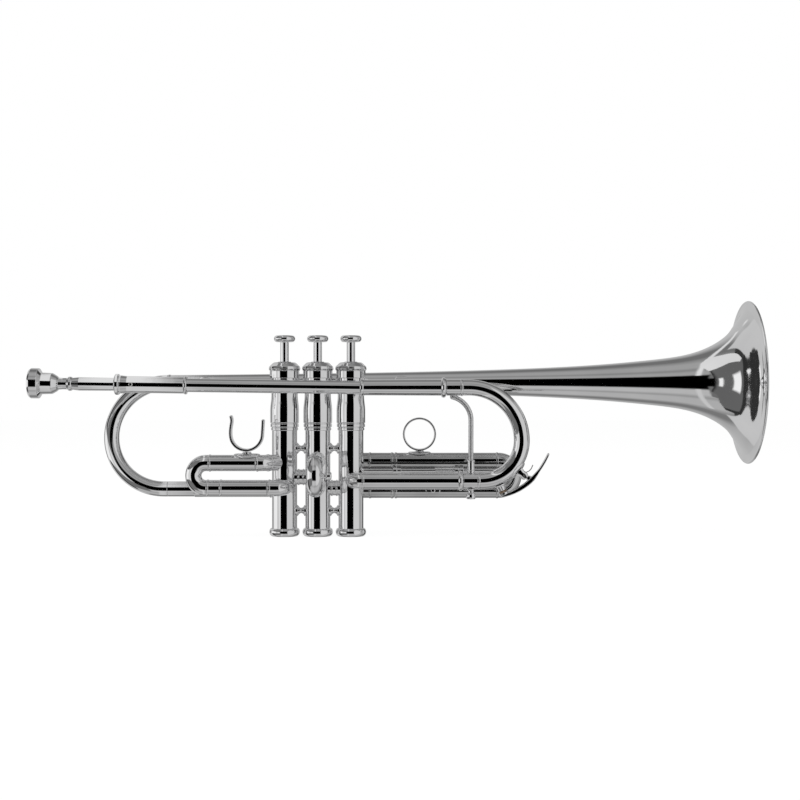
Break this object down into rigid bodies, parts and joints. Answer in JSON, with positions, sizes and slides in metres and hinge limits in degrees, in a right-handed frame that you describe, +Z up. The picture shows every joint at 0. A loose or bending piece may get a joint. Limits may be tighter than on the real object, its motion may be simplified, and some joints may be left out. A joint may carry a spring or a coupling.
{
  "type": "trumpet",
  "caption": "Silver-plated B-flat trumpet with piston valves, tuning slides, water key, finger ring, thumb hook and mouthpiece.",
  "frame": {"origin": "centre of the underside of the second valve's bottom cap", "axes": "+X forward to the bell, +Y to the player's left-hand bell side away from the leadpipe, +Z up along the valves"},
  "size_m": [0.5335, 0.1284, 0.1748],
  "materials": {
    "silver": "polished",
    "satin_silver": "gloss",
    "nickel": "gloss",
    "spring_steel": "satin",
    "nylon": "satin",
    "cork": "matte"
  },
  "bodies": {
    "trumpet_body": {"bell_flare": "satin_silver", "bell_stem": "satin_silver", "bell_bow": "silver", "mouthpiece_receiver": "silver", "leadpipe": "silver", "main_outer_tube_upper": "silver", "main_outer_tube_lower": "silver", "casing_brace_upper_12": "silver", "casing_brace_lower_12": "silver", "casing_brace_upper_23": "silver", "casing_brace_lower_23": "silver", "crossover_tube_12": "silver", "crossover_tube_23": "silver", "first_slide_inner_upper": "silver", "first_slide_inner_lower": "silver", "second_slide_outer_upper": "silver", "second_slide_outer_lower": "silver", "third_slide_inner_upper": "silver", "third_slide_inner_lower": "silver", "bell_brace_rear": "silver", "bell_brace_front": "silver", "valve_casing_1": "silver", "top_cap_1": "silver", "bottom_cap_1": "silver", "valve_guide_1": "nylon", "valve_spring_1": "spring_steel", "valve_casing_2": "silver", "top_cap_2": "silver", "bottom_cap_2": "silver", "valve_guide_2": "nylon", "valve_spring_2": "spring_steel", "valve_casing_3": "silver", "top_cap_3": "silver", "bottom_cap_3": "silver", "valve_guide_3": "nylon", "valve_spring_3": "spring_steel"},
    "valve_1": {"piston_1": "nickel", "valve_stem_1": "silver", "finger_button_1": "silver"},
    "valve_2": {"piston_2": "nickel", "valve_stem_2": "silver", "finger_button_2": "silver"},
    "valve_3": {"piston_3": "nickel", "valve_stem_3": "silver", "finger_button_3": "silver"},
    "main_slide": {"main_slide_leg_upper": "silver", "main_slide_leg_lower": "silver", "main_slide_bow": "silver", "main_slide_brace": "silver", "water_key_saddle": "silver", "water_key_nipple": "silver"},
    "water_key": {"water_key_lever": "silver", "water_key_cork": "cork", "water_key_spring": "spring_steel"},
    "first_slide": {"first_slide_loop": "silver", "thumb_hook": "silver"},
    "second_slide": {"second_slide_loop": "silver"},
    "third_slide": {"third_slide_loop": "silver", "finger_ring": "silver"},
    "mouthpiece": {"mouthpiece": "silver"}
  },
  "joints": [
    {"name": "valve_1_stroke", "type": "slide", "parent": "trumpet_body", "child": "valve_1", "axis": [0, 0, 1], "range_m": [-0.0145, 0], "stiffness_N_per_m": 80, "springref_m": 0.025, "deforming": ["valve_spring_1"]},
    {"name": "valve_2_stroke", "type": "slide", "parent": "trumpet_body", "child": "valve_2", "axis": [0, 0, 1], "range_m": [-0.0145, 0], "stiffness_N_per_m": 80, "springref_m": 0.025, "deforming": ["valve_spring_2"]},
    {"name": "valve_3_stroke", "type": "slide", "parent": "trumpet_body", "child": "valve_3", "axis": [0, 0, 1], "range_m": [-0.0145, 0], "stiffness_N_per_m": 80, "springref_m": 0.025, "deforming": ["valve_spring_3"]},
    {"name": "main_tuning_slide", "type": "slide", "parent": "trumpet_body", "child": "main_slide", "axis": [1, 0, 0], "range_m": [0, 0.03]},
    {"name": "water_key_hinge", "type": "hinge", "parent": "main_slide", "child": "water_key", "pos_m": [0.15126, -0.01475, 0.04593], "axis": [0, 0.9994, 0.0352], "range_deg": [-16, 0], "stiffness_Nm_per_rad": 0.05, "springref_deg": 28.65},
    {"name": "first_valve_slide", "type": "slide", "parent": "trumpet_body", "child": "first_slide", "axis": [-1, 0, 0], "range_m": [0, 0.02]},
    {"name": "second_valve_slide", "type": "slide", "parent": "trumpet_body", "child": "second_slide", "axis": [0, -1, 0], "range_m": [0, 0.01]},
    {"name": "third_valve_slide", "type": "slide", "parent": "trumpet_body", "child": "third_slide", "axis": [1, 0, 0], "range_m": [0, 0.025]},
    {"name": "mouthpiece_fit", "type": "slide", "parent": "trumpet_body", "child": "mouthpiece", "axis": [-0.9999, 0, 0.0131], "range_m": [0, 0.03]}
  ]
}
